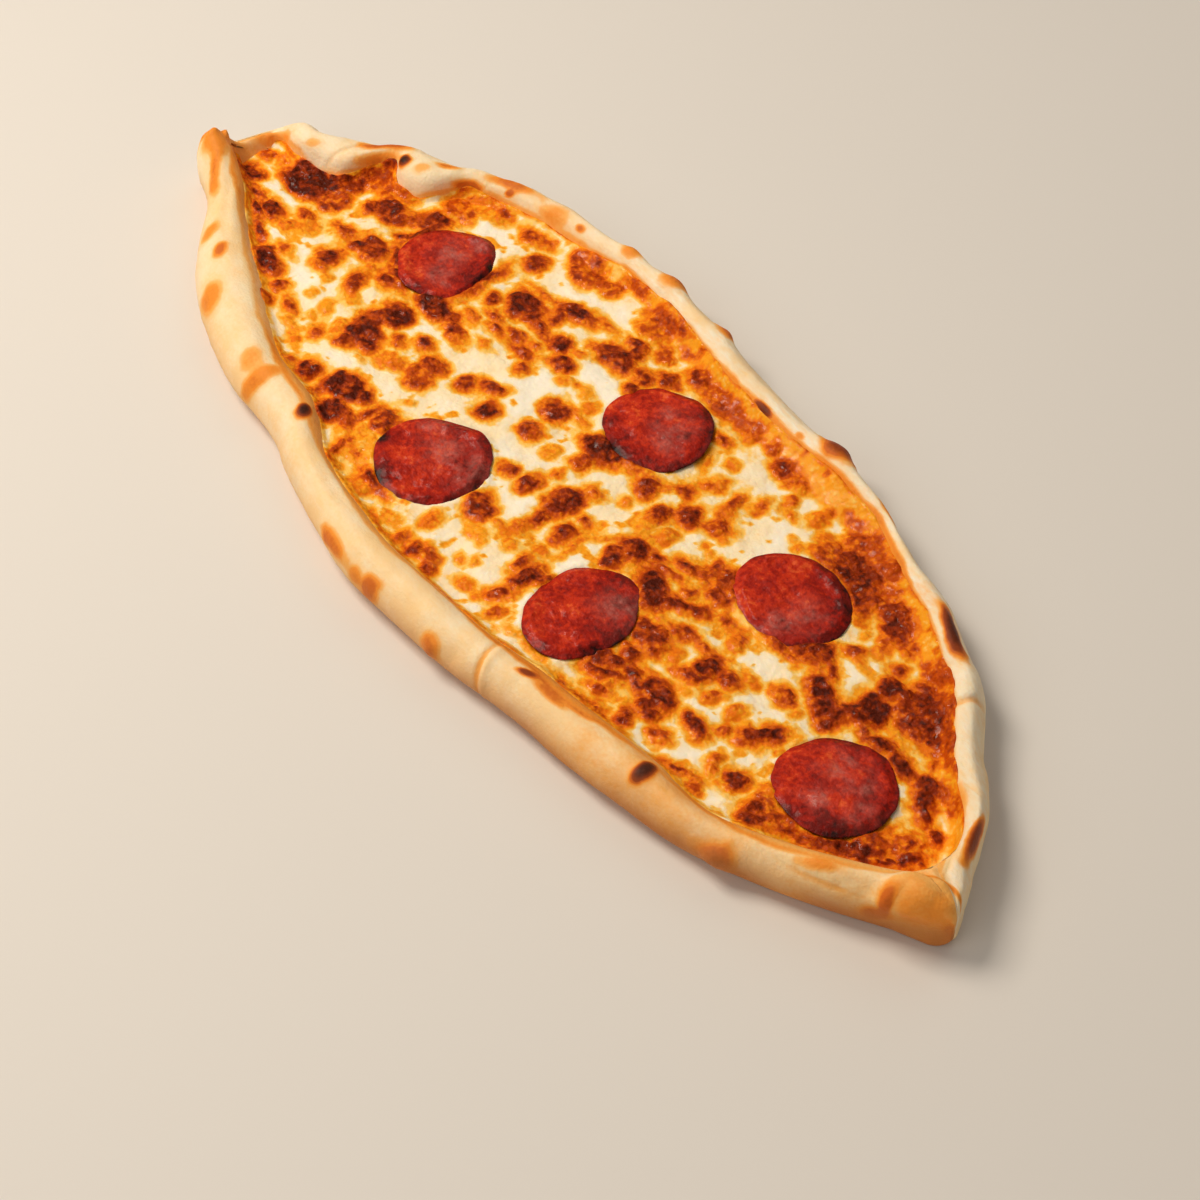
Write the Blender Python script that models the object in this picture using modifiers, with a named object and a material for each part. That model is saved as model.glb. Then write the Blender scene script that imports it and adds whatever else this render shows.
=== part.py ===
"""Turkish pide: a long boat of baked dough, its rims rolled in over a layer of melted cheese.

The boat lies along X on its flat underside, the origin in the middle of the underside, +Z up.
The end at -X is drawn out to a raised horn, and the end at +X is folded flat into a blunt corner.
Six slices of spiced sausage lie half sunk in the cheese.
"""

import math

import bmesh
import bpy
import numpy as np

MM = 0.001

# Driving dimensions, in millimetres.
LENGTH = 388.0
FLOOR_THICKNESS = 3.6
FLOOR_FILLET = 1.2
CHEESE_LEVEL = 10.2
CHEESE_CREEP = 1.5
GAP = 0.35
SLICE_THICKNESS = 3.2
SLICE_DOME = 1.3
SLICE_RISE = 1.4

# Fineness of the faceted solids.
STATIONS = 66
END_CROWDING = 0.35
STEPS_PER_SPAN = 2
CHEESE_TOP_STEPS = 13
SLICE_SIDES = 26

# Cross-section of a rolled rim, from its foot over the top to the inner side: (share of the rim's thickness
# from its widest line inwards, share of the crest's height). The points are the foot, the widest line, the
# shoulder, the crest and the inner top.
RIM_PROFILE = ((0.32, 0.0), (0.0, 0.40), (0.18, 0.80), (0.52, 1.0), (0.92, 0.93))
RIM_WIDEST = 0.46  # of the boat's width, where the boat is too narrow for two full rims
# The hollow's side, inward of the rim: its wall at the cheese's edge, and the wall's foot on the floor, each
# as (mm, or at most this share of the boat's width).
WALL_INSET = (2.0, 0.1)
FOOT_INSET = (6.0, 0.2)
# Where the tips are solid, how high the dough stands at the wall, its foot and the floor: 0 is the lid's
# height, and 1 the crest's.
SOLID_FALL = (0.75, 0.4, 0.15)

# Points of a cross-section's loop where the cheese meets the near and the far wall.
NEAR_WALL_POINT = 6
FAR_WALL_POINT = 12

# The cheese reaches as far along the boat as the hollow has at least this share of its depth. Its top swells
# and sinks in two waves: (height, length along X over a full turn's radian, the same along Y).
CHEESE_REACH = 0.8
BROAD_SWELL = (0.5, 17.0, 13.0)
FINE_SWELL = (0.3, 7.0, 9.0)
CREEP_POWER = 6

# Half profile of a slice, from the middle of its top to the middle of its underside: (share of the radius,
# which face it counts from, mm inward of that face, share of the dome's height).
SLICE_PROFILE = (
    (0.0, 1, 0.0, 1.0), (0.45, 1, 0.0, 0.8), (0.78, 1, 0.0, 0.3), (0.94, 1, 0.5, 0.0), (1.0, 0, 0.0, 0.0),
    (0.95, -1, 0.4, 0.0), (0.8, -1, 0.0, 0.0), (0.0, -1, 0.0, 0.0),
)

# Plan of the boat: (x, y) points that the widest line of each rim passes through.
NEAR_OUTLINE = (
    (-194, -14.5), (-191, -19.5), (-187, -22.3), (-178, -25.3), (-166, -31.5), (-156, -40), (-136, -52),
    (-116, -58.6), (-96, -62.2), (-66, -64.1), (-46, -69.6), (-26, -73.5), (-6, -75.5), (12, -73.9),
    (44, -69.6), (60, -66), (84, -62.9), (104, -58.4), (124, -53.9), (144, -45.6), (164, -34.6), (184, -20.9),
    (190, -16.2), (194, -13),
)
FAR_OUTLINE = (
    (-194, -11.5), (-190.5, -9), (-189.2, -4), (-188.6, 3), (-187.4, 11.5), (-184.5, 17.5), (-171, 23.5),
    (-159, 35), (-139, 50), (-119, 60.3), (-99, 68.7), (-76, 71.6), (-60, 74.6), (-40, 75.5), (-20, 75.3),
    (0, 74.8), (21, 72.8), (38, 71.9), (60, 70), (75, 67.8), (89, 63.1), (112, 59.1), (124, 53.8), (140, 46.9),
    (157, 32.2), (175, 17.7), (183, 5.3), (190, -3.7), (194, -9.5),
)

# Thickness of each rolled rim, from its widest line to the top of its inner side: (x, thickness).
NEAR_THICKNESS = (
    (-189, 11), (-169, 14.5), (-149, 19.5), (-130, 21.5), (-110, 18.5), (-90, 15), (-66, 14), (-50, 11.5),
    (-20, 13), (60, 13), (85, 14), (110, 12), (126, 9.5), (150, 11), (175, 13),
)
FAR_THICKNESS = (
    (-188, 8), (-178, 14), (-160, 19), (-135, 18), (-120, 11), (-100, 10), (-85, 8.5), (-50, 8.5), (-20, 10),
    (0, 12.5), (20, 11.5), (40, 10.5), (57, 8.5), (90, 8), (110, 10), (120, 11), (130, 10), (145, 13),
    (160, 12), (180, 10),
)

# Height of each rim's crest: (x, height).
NEAR_CREST = (
    (-194, 18), (-189, 25), (-184, 24), (-176, 21.5), (-165, 19), (-140, 17.5), (-100, 17), (-50, 16.5),
    (0, 17), (50, 16.5), (100, 16), (126, 15), (150, 16.5), (172, 19), (185, 20.5), (194, 18),
)
FAR_CREST = (
    (-194, 14), (-190, 11.5), (-187, 12), (-184, 16), (-178, 19), (-160, 19.5), (-140, 18.5), (-110, 17.5),
    (-60, 17), (0, 17), (50, 16.5), (100, 16), (118, 18), (130, 17), (150, 17), (172, 18), (185, 19.5),
    (194, 18),
)

# The hollow runs between these stations and fades out over HOLLOW_FADE at each end. Past it the dough is
# closed over: low in the notch beside the horn, and as high as the rims under the flap of the other tip.
HOLLOW_START = -187.0
HOLLOW_END = 181.0
HOLLOW_FADE = 9.0
NOTCH_HEIGHT = 0.85
FLAP_HEIGHT = 1.02
TIP_ROUNDING = 5.0
TIP_SIZE = 0.35

# Sausage slices: (x, y, length along X, length along Y, tilt about X in degrees, tilt about Y in degrees).
SLICES = (
    (-98.0, 20.6, 34.5, 36.0, -4.0, 3.0),
    (3.6, 33.0, 36.5, 36.0, 2.0, -2.0),
    (-25.2, -31.6, 37.0, 36.5, 2.5, 2.0),
    (49.4, -28.6, 35.0, 36.5, -3.0, -2.0),
    (82.2, 23.2, 35.5, 34.5, 3.0, 3.0),
    (140.4, -8.4, 36.2, 36.0, -2.0, -3.0),
)


def smooth_through(x, knots):
    """Height at x of a smooth curve through the knots: a cubic between each two, flat past the ends."""
    kx, ky = np.array(knots, float).T
    slope = np.gradient(ky, kx)
    x = np.clip(x, kx[0], kx[-1])
    i = np.clip(np.searchsorted(kx, x) - 1, 0, len(kx) - 2)
    span = kx[i + 1] - kx[i]
    t = (x - kx[i]) / span
    rise = ky[i] * (1 + 2 * t) * (1 - t) ** 2 + ky[i + 1] * t * t * (3 - 2 * t)
    return rise + span * (slope[i] * t * (1 - t) ** 2 - slope[i + 1] * t * t * (1 - t))


def smooth_step(t):
    """0 below 0, 1 above 1, and an S-shaped rise between."""
    t = np.clip(t, 0, 1)
    return t * t * (3 - 2 * t)


def station_places():
    """X of every cross-section, set closer together towards both tips."""
    t = np.linspace(-1, 1, STATIONS)
    return LENGTH / 2 * ((1 + END_CROWDING) * t - END_CROWDING * t**3)


def hollow_depth(x):
    """1 where the boat is open to its floor, 0 where the tips are solid dough."""
    opening = smooth_step((x - HOLLOW_START) / HOLLOW_FADE)
    closing = smooth_step((HOLLOW_END - x) / HOLLOW_FADE)
    return opening * closing


def section_points(x):
    """Points (y, z) that the cross-section at x passes through, round the loop from the underside's middle.

    The rim at -Y comes first: foot, widest line, shoulder, crest, inner top, wall at the cheese's edge,
    foot of the wall, floor. The rim at +Y follows in the opposite order.
    """
    near, far = smooth_through(x, NEAR_OUTLINE), smooth_through(x, FAR_OUTLINE)
    width = far - near
    near_rim = min(smooth_through(x, NEAR_THICKNESS), RIM_WIDEST * width)
    far_rim = min(smooth_through(x, FAR_THICKNESS), RIM_WIDEST * width)
    near_top, far_top = smooth_through(x, NEAR_CREST), smooth_through(x, FAR_CREST)
    middle = (near + far) / 2
    depth = hollow_depth(x)
    lid = min(near_top, far_top) * (NOTCH_HEIGHT if x < 0 else FLAP_HEIGHT)
    wall_top = CHEESE_LEVEL + CHEESE_CREEP

    def rim(edge, thick, top, inward):
        return [(edge + inward * across * thick, up * top) for across, up in RIM_PROFILE]

    def inside(edge, thick, top, inward):
        wall, foot = (
            edge + inward * (thick + min(inset, share * width)) for inset, share in (WALL_INSET, FOOT_INSET)
        )
        flat = (foot + middle) / 2
        solid = [lid + (top - lid) * fall for fall in SOLID_FALL]
        hollow = [wall_top, FLOOR_THICKNESS + FLOOR_FILLET, FLOOR_THICKNESS]
        return [(y, s + (h - s) * depth) for y, s, h in zip((wall, foot, flat), solid, hollow)]

    loop = [(middle, 0.0)] + rim(near, near_rim, near_top, 1) + inside(near, near_rim, near_top, 1)
    loop.append((middle, lid + (FLOOR_THICKNESS - lid) * depth))
    loop += inside(far, far_rim, far_top, -1)[::-1] + rim(far, far_rim, far_top, -1)[::-1]
    return np.array(loop)


def spline_loop(points):
    """A closed smooth curve through the points, with STEPS_PER_SPAN samples from each point to the next.

    Each span is a cubic whose end tangents weigh the two neighbouring chords by their lengths.
    """
    chord = np.roll(points, -1, 0) - points
    length = np.linalg.norm(chord, axis=1)[:, None]
    length_before = np.roll(length, 1, 0)
    direction = chord / length
    tangent = (direction * length_before + np.roll(direction, 1, 0) * length) / (length + length_before)
    start, end = points, np.roll(points, -1, 0)
    leave, arrive = tangent * length, np.roll(tangent, -1, 0) * length
    samples = []
    for t in np.arange(STEPS_PER_SPAN) / STEPS_PER_SPAN:
        samples.append(
            start * (1 + 2 * t) * (1 - t) ** 2 + end * t * t * (3 - 2 * t)
            + leave * t * (1 - t) ** 2 - arrive * t * t * (1 - t)
        )
    return np.stack(samples, 1).reshape(-1, 2)


def dough_rings():
    """Every cross-section as (stations, samples, 3), flat on the underside and rounded off at the tips."""
    rings = []
    for x in station_places():
        loop = spline_loop(section_points(x))
        loop[:, 1] = np.maximum(loop[:, 1], 0.0)
        from_tip = (LENGTH / 2 - abs(x)) / TIP_ROUNDING
        shrink = TIP_SIZE + (1 - TIP_SIZE) * math.sqrt(1 - (1 - min(from_tip, 1.0)) ** 2)
        centre = np.array([loop[:, 0].mean(), 0.55 * loop[:, 1].max()])
        loop = centre + (loop - centre) * shrink
        rings.append(np.column_stack([np.full(len(loop), x), loop]))
    return np.array(rings)


def loft(name, rings, material, collection):
    """A closed solid through the rings, its cells split along the same diagonal, with a flat cap at each end."""
    stations, samples, _ = rings.shape
    bm = bmesh.new()
    verts = [[bm.verts.new(point * MM) for point in ring] for ring in rings]
    for i in range(stations - 1):
        for j in range(samples):
            k = (j + 1) % samples
            a, b, c, d = verts[i][j], verts[i + 1][j], verts[i + 1][k], verts[i][k]
            bm.faces.new((a, b, c))
            bm.faces.new((a, c, d))
    bm.faces.new(verts[0])
    bm.faces.new(verts[-1][::-1])
    bmesh.ops.recalc_face_normals(bm, faces=bm.faces)
    bmesh.ops.triangulate(bm, faces=[face for face in bm.faces if len(face.verts) > 3])
    mesh = bpy.data.meshes.new(name)
    bm.to_mesh(mesh)
    bm.free()
    mesh.shade_smooth()
    mesh.set_sharp_from_angle(angle=math.radians(50))
    return add_object(name, mesh, material, collection)


def add_object(name, mesh, material, collection):
    """A new object of the mesh, with its material, in the collection."""
    obj = bpy.data.objects.new(name, mesh)
    if material:
        mesh.materials.append(material)
    collection.objects.link(obj)
    return obj


def make_material(name, color, roughness):
    """A plain surface of one colour."""
    material = bpy.data.materials.new(name)
    material.use_nodes = True
    surface = material.node_tree.nodes["Principled BSDF"]
    surface.inputs["Base Color"].default_value = (*color, 1.0)
    surface.inputs["Roughness"].default_value = roughness
    surface.inputs["Metallic"].default_value = 0.0
    return material


def cheese_rings(rings):
    """Cross-sections of the cheese: its underside follows the dough at GAP, its top is nearly level."""
    first = NEAR_WALL_POINT * STEPS_PER_SPAN
    last = FAR_WALL_POINT * STEPS_PER_SPAN
    kept = []
    for ring in rings:
        x = ring[0, 0]
        if hollow_depth(x) < CHEESE_REACH:
            continue
        below = ring[first:last + 1, 1:]
        along = np.gradient(below, axis=0)
        normal = np.column_stack([-along[:, 1], along[:, 0]])
        below = below + GAP * normal / np.linalg.norm(normal, axis=1)[:, None]
        t = np.linspace(0, 1, CHEESE_TOP_STEPS)[1:-1]
        y = below[0, 0] + (below[-1, 0] - below[0, 0]) * t
        edge = (2 * t - 1) ** CREEP_POWER
        height, along_x, along_y = BROAD_SWELL
        swell = height * np.sin(x / along_x) * np.cos(y / along_y)
        height, along_x, along_y = FINE_SWELL
        swell += height * np.sin(x / along_x + y / along_y)
        z = CHEESE_LEVEL + CHEESE_CREEP * edge + swell * (1 - edge)
        top = np.column_stack([y, z])[::-1]
        loop = np.vstack([below, top])
        kept.append(np.column_stack([np.full(len(loop), x), loop]))
    return np.array(kept)


def slice_mesh(name, grow):
    """Profile of a round slice of radius 1 by its real thickness, run from the top down, for a Screw.

    The top is domed, the rim blunt and the underside flat. A seat's cutter is the same, grown all round.
    """
    half = SLICE_THICKNESS / 2 + grow
    profile = [
        (across, 0.0, face * (half - inward) + dome * SLICE_DOME)
        for across, face, inward, dome in SLICE_PROFILE
    ]
    mesh = bpy.data.meshes.new(name)
    edges = [(i, i + 1) for i in range(len(profile) - 1)]
    mesh.from_pydata(profile, edges, [])
    return mesh


def place_slice(name, grow, material, collection, size):
    """A turned slice, stretched to its length and breadth, lying tilted in the cheese."""
    x, y, length, breadth, tilt_x, tilt_y = size
    mesh = slice_mesh(name, grow)
    obj = add_object(name, mesh, material, collection)
    obj.location = (x * MM, y * MM, (CHEESE_LEVEL + SLICE_RISE) * MM)
    obj.rotation_euler = (math.radians(tilt_x), math.radians(tilt_y), 0.0)
    obj.scale = ((length / 2 + grow) * MM, (breadth / 2 + grow) * MM, MM)
    turn = obj.modifiers.new("turn", "SCREW")
    turn.axis = "Z"
    turn.angle = math.tau
    turn.steps = SLICE_SIDES
    turn.render_steps = SLICE_SIDES
    turn.use_merge_vertices = True
    turn.merge_threshold = 0.0001
    turn.use_smooth_shade = True
    return obj


def cut_seat(cheese, cutter):
    """Sinks a seat for one slice into the cheese."""
    cutter.hide_render = True
    cutter.display_type = "WIRE"
    cut = cheese.modifiers.new(cutter.name, "BOOLEAN")
    cut.operation = "DIFFERENCE"
    cut.solver = "EXACT"
    cut.object = cutter


for old in list(bpy.data.objects):
    bpy.data.objects.remove(old, do_unlink=True)

pide = bpy.data.collections.new("pide")
bpy.context.scene.collection.children.link(pide)
cutters = bpy.data.collections.new("seat_cutters")
bpy.context.scene.collection.children.link(cutters)

crust = make_material("baked_dough", (0.78, 0.55, 0.30), 0.62)
melted = make_material("melted_cheese", (0.84, 0.58, 0.22), 0.35)
cured = make_material("sausage", (0.33, 0.05, 0.03), 0.38)

dough_shape = dough_rings()
loft("dough", dough_shape, crust, pide)
cheese = loft("cheese", cheese_rings(dough_shape), melted, pide)
for number, size in enumerate(SLICES, 1):
    place_slice(f"sausage_slice_{number}", 0.0, cured, pide, size)
    cut_seat(cheese, place_slice(f"seat_{number}", GAP, None, cutters, size))
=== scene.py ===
"""Looks of a Turkish pide: a long boat of baked dough, filled with browned cheese and six slices of sausage."""

import math

import bpy
import numpy as np
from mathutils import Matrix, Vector


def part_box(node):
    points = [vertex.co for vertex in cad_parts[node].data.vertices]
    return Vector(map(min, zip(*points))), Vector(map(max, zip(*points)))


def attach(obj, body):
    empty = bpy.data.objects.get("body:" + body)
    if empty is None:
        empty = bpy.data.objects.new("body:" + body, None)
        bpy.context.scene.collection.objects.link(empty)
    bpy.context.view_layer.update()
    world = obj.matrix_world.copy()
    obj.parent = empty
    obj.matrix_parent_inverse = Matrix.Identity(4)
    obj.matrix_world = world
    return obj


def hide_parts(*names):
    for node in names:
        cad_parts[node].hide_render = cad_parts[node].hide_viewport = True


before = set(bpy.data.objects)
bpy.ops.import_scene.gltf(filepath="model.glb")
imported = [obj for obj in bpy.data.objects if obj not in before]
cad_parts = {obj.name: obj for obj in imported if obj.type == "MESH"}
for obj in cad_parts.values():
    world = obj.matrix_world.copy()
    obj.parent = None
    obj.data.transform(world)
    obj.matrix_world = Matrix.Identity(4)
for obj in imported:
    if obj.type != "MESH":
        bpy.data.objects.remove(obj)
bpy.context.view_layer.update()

# ---------------------------------------------------------------------------------------------------------
# The dough: one long sheet of bread dough, rolled in along both edges and pinched at the ends, then baked.
# It is soft, matt and floury, swollen unevenly, browned in spots where bubbles met the oven's heat, and
# stained orange along the inner edge, where the cheese's fat soaked in. Its colour also holds painted
# shade, darker low on the near rim and towards its +X end, and painted light on the far rim's lobes.

low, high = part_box("dough")
mm = (high.x - low.x) / 388

NEAR_OUTLINE = (
    (-194, -14.5), (-191, -19.5), (-187, -22.3), (-178, -25.3), (-166, -31.5), (-156, -40), (-136, -52),
    (-116, -58.6), (-96, -62.2), (-66, -64.1), (-46, -69.6), (-26, -73.5), (-6, -75.5), (12, -73.9),
    (44, -69.6), (60, -66), (84, -62.9), (104, -58.4), (124, -53.9), (144, -45.6), (164, -34.6), (184, -20.9),
    (190, -16.2), (194, -13),
)
FAR_OUTLINE = (
    (-194, -11.5), (-190.5, -9), (-189.2, -4), (-188.6, 3), (-187.4, 11.5), (-184.5, 17.5), (-171, 23.5),
    (-159, 35), (-139, 50), (-119, 60.3), (-99, 68.7), (-76, 71.6), (-60, 74.6), (-40, 75.5), (-20, 75.3),
    (0, 74.8), (21, 72.8), (38, 71.9), (60, 70), (75, 67.8), (89, 63.1), (112, 59.1), (124, 53.8), (140, 46.9),
    (157, 32.2), (175, 17.7), (183, 5.3), (190, -3.7), (194, -9.5),
)
NEAR_THICKNESS = (
    (-189, 11), (-169, 14.5), (-149, 19.5), (-130, 21.5), (-110, 18.5), (-90, 15), (-66, 14), (-50, 11.5),
    (-20, 13), (60, 13), (85, 14), (110, 12), (126, 9.5), (150, 11), (175, 13),
)
FAR_THICKNESS = (
    (-188, 8), (-178, 12), (-171, 13), (-165, 16.5), (-159, 20.5), (-153.5, 21), (-149.5, 14), (-146, 13),
    (-141, 17.5), (-135, 20), (-129.5, 19.5), (-124, 12.5), (-116, 10.5), (-100, 10), (-85, 8.5), (-50, 8.5),
    (-20, 10), (0, 12.5), (20, 11.5), (40, 9.5), (57, 7), (90, 6.5), (108, 9.5), (120, 10.5), (130, 10),
    (145, 13), (160, 12), (180, 10),
)
NEAR_CREST = (
    (-194, 11), (-191, 19), (-187.5, 24.8), (-184, 24), (-176, 21.5), (-165, 19), (-140, 17.5), (-100, 17),
    (-50, 16.5), (0, 17), (50, 16.5), (100, 16), (126, 15), (150, 16.5), (172, 19), (185, 20.5), (194, 18),
)
FAR_CREST = (
    (-194, 14), (-191, 15), (-187.5, 14), (-184, 16), (-178, 19), (-160, 19.5), (-140, 18.5), (-110, 17.5),
    (-60, 17), (0, 17), (50, 16.5), (100, 16), (118, 18), (130, 17), (150, 17), (172, 18), (185, 19.5),
    (194, 18),
)
# A rim's section from its foot over the crest to its inner top: (share of thickness, share of height), and
# what is added to each share on the horn, whose ridge leans inwards.
RIM_PROFILE = ((0.32, 0.0), (0.0, 0.40), (0.18, 0.80), (0.52, 1.0), (0.92, 0.93))
HORN_LEAN = ((0, 0), (0, 0.04), (-0.02, -0.04), (0.26, 0.0), (0.14, -0.05))
FLOOR = 3.6
CHEESE_LEVEL = 10.2
HALF_SPANS = (6, 9, 11, 9, 8, 8, 4, 3, 2)
STATIONS = 800
CREST_POINT, LIP_POINT, WALL_POINT = 4, 5, 6


def smooth_through(x, knots):
    """Cubic Hermite curve through the knots (x, value), its slopes those of neighbouring knots, flat outside."""
    kx, ky = np.array(knots, float).T
    slope = np.gradient(ky, kx)
    x = np.clip(x, kx[0], kx[-1])
    i = np.clip(np.searchsorted(kx, x) - 1, 0, len(kx) - 2)
    span = kx[i + 1] - kx[i]
    t = (x - kx[i]) / span
    rise = ky[i] * (1 + 2 * t) * (1 - t) ** 2 + ky[i + 1] * t * t * (3 - 2 * t)
    return rise + span * (slope[i] * t * (1 - t) ** 2 - slope[i + 1] * t * t * (1 - t))


def ease(t):
    """0 below 0, 1 above 1, and the S-curve 3t^2 - 2t^3 between."""
    t = np.clip(t, 0, 1)
    return t * t * (3 - 2 * t)


def section_points(x):
    """Points (y, z) of the boat's section at every x, as (stations, 18, 2): the middle of the underside, the
    near rim from foot to wall, the floor, and the far rim in the opposite order."""
    near, far = smooth_through(x, NEAR_OUTLINE), smooth_through(x, FAR_OUTLINE)
    near_top, far_top = smooth_through(x, NEAR_CREST), smooth_through(x, FAR_CREST)
    width, middle = far - near, (near + far) / 2
    depth = ease((x + 187) / 9) * ease((181 - x) / 9)
    lid = np.minimum(near_top, far_top) * np.where(x < 0, 0.85 + 0.17 * ease((-183 - x) / 4), 1.02)
    horn = ease((-170 - x) / 12)

    def rim(edge, thickness, top, inward):
        thick = np.minimum(smooth_through(x, thickness), 0.4 * width)
        wall = edge + inward * (thick + np.minimum(2, 0.04 * width))
        foot = edge + inward * (thick + np.minimum(6, 0.07 * width))
        lean = horn * (inward > 0)
        shares = [(across + out * lean, up + rise * lean)
                  for (across, up), (out, rise) in zip(RIM_PROFILE, HORN_LEAN)]
        y = [edge + inward * across * thick for across, _ in shares] + [wall, foot, (foot + middle) / 2]
        z = [up * top for _, up in shares]
        z[-1] += (lid - z[-1]) * np.where(x < 0, 0, 1 - depth)
        for fall, hollow in ((0.75, CHEESE_LEVEL + 1.5), (0.4, FLOOR + 1.2), (0.15, FLOOR)):
            solid = lid + (top - lid) * fall
            z.append(solid + (hollow - solid) * depth)
        return list(np.stack([y, z], -1))

    underside = np.stack([middle, 0 * x], -1)
    floor = np.stack([middle, lid + (FLOOR - lid) * depth], -1)
    near_side, far_side = rim(near, NEAR_THICKNESS, near_top, 1), rim(far, FAR_THICKNESS, far_top, -1)
    return np.stack([underside] + near_side + [floor] + far_side[::-1], 1)


def spline_loops(points, spans):
    """Closed cubic curves through each row of points, with the given number of samples from point to point.
    A point's tangent is its two neighbouring chords' directions, each weighed by the other's length."""
    ahead = np.roll(points, -1, 1)
    chord = ahead - points
    length = np.linalg.norm(chord, axis=2)[..., None]
    direction, before = chord / length, np.roll(length, 1, 1)
    tangent = (direction * before + np.roll(direction, 1, 1) * length) / (length + before)
    leave, arrive = tangent * length, np.roll(tangent, -1, 1) * length
    samples = []
    for k, count in enumerate(spans):
        t = (np.arange(count) / count)[None, :, None]
        samples.append(
            points[:, k, None] * (1 + 2 * t) * (1 - t) ** 2 + ahead[:, k, None] * t * t * (3 - 2 * t)
            + leave[:, k, None] * t * (1 - t) ** 2 - arrive[:, k, None] * t * t * (1 - t)
        )
    return np.concatenate(samples, 1)


def dough_rings(x, spans):
    """Sections of the boat as (stations, samples, 3), flat below and drawn in to a round end at each tip."""
    loops = spline_loops(section_points(x), spans)
    loops[..., 1] = np.maximum(loops[..., 1], 0)
    from_tip = np.minimum((194 - np.abs(x)) / 5, 1)
    shrink = (0.35 + 0.65 * np.sqrt(1 - (1 - from_tip) ** 2))[:, None, None]
    centre = np.stack([loops[..., 0].mean(1), 0.55 * loops[..., 1].max(1)], -1)[:, None]
    loops = centre + (loops - centre) * shrink
    return np.concatenate([np.broadcast_to(x[:, None, None], (*loops.shape[:2], 1)), loops], 2)


def lumps(points, size, seed):
    """Smooth random field from -1 to 1: seeded values on a cubic lattice of that size, blended by S-curves."""
    cell = points / size
    base = np.floor(cell).astype(int)
    t = ease(cell - base)
    values = np.random.default_rng(seed).uniform(-1, 1, 4096)
    total = 0
    for corner in np.ndindex(2, 2, 2):
        weight = np.prod(np.where(corner, t, 1 - t), -1)
        key = (base + corner) * (73856093, 19349663, 83492791)
        total = total + weight * values[np.bitwise_xor.reduce(key, -1) % 4096]
    return total


def outward(rings):
    """Unit normals of a grid closed around its second direction: along x around, its two tangents."""
    along = np.gradient(rings, axis=0)
    around = np.roll(rings, -1, 1) - np.roll(rings, 1, 1)
    normal = np.cross(along, around)
    return normal / np.maximum(np.linalg.norm(normal, axis=2), 1e-9)[..., None]


def closed_mesh(name, rings, **fields):
    """A mesh of the grid's four-sided cells, closed around, with a fan from a middle point over each end.
    Its faces look to the side of along x around. Every field becomes a point attribute of its name."""
    stations, samples, _ = rings.shape
    points = np.concatenate([rings.reshape(-1, 3), rings[[0, -1]].mean(1)])
    i, j = np.meshgrid(np.arange(stations - 1), np.arange(samples), indexing="ij")
    k = (j + 1) % samples
    cells = np.stack([i * samples + j, (i + 1) * samples + j, (i + 1) * samples + k, i * samples + k], -1)
    here, last = np.arange(samples), (stations - 1) * samples
    beside = (here + 1) % samples
    first_fan = np.stack([here, beside, np.full(samples, len(points) - 2)], -1)
    last_fan = np.stack([last + beside, last + here, np.full(samples, len(points) - 1)], -1)
    mesh = bpy.data.meshes.new(name)
    mesh.from_pydata(points * mm, [], cells.reshape(-1, 4).tolist() + first_fan.tolist() + last_fan.tolist())
    for field, values in fields.items():
        ends = values[[0, -1]].mean(1)
        mesh.attributes.new(field, "FLOAT", "POINT").data.foreach_set(
            "value", np.concatenate([values.ravel(), ends]).astype(np.float32)
        )
    mesh.shade_smooth()
    piece = bpy.data.objects.new(name, mesh)
    bpy.context.scene.collection.objects.link(piece)
    return piece


def from_crest(rings, crest):
    """Distance round each section from the crest's sample, in mm, growing with the sample's number."""
    step = np.linalg.norm(np.diff(rings, axis=1), axis=2)
    length = np.concatenate([np.zeros((len(rings), 1)), np.cumsum(step, 1)], 1)
    return length - length[:, crest, None]


def oval(dx, dy, half_length, half_width, turn):
    """Distance outside (+) or inside (-) an ellipse turned by that many degrees, as a share of its size."""
    c, s = math.cos(math.radians(turn)), math.sin(math.radians(turn))
    return np.hypot((dx * c + dy * s) / half_length, (dy * c - dx * s) / half_width) - 1


spans = HALF_SPANS + HALF_SPANS[::-1]
t = np.linspace(-1, 1, STATIONS)
dough_x = 194 * (1.35 * t - 0.35 * t**3)
rings = dough_rings(dough_x, spans)
near_crest, near_wall = sum(spans[:CREST_POINT]), sum(spans[:WALL_POINT])
far_crest, far_wall = sum(spans[:-CREST_POINT]), sum(spans[:-WALL_POINT])
middle_sample = sum(HALF_SPANS)
inward = np.where(np.arange(rings.shape[1]) < middle_sample, from_crest(rings, near_crest),
                  -from_crest(rings, far_crest))
is_near = np.broadcast_to(np.arange(rings.shape[1]) < middle_sample, inward.shape)
x = rings[..., 0]

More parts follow.
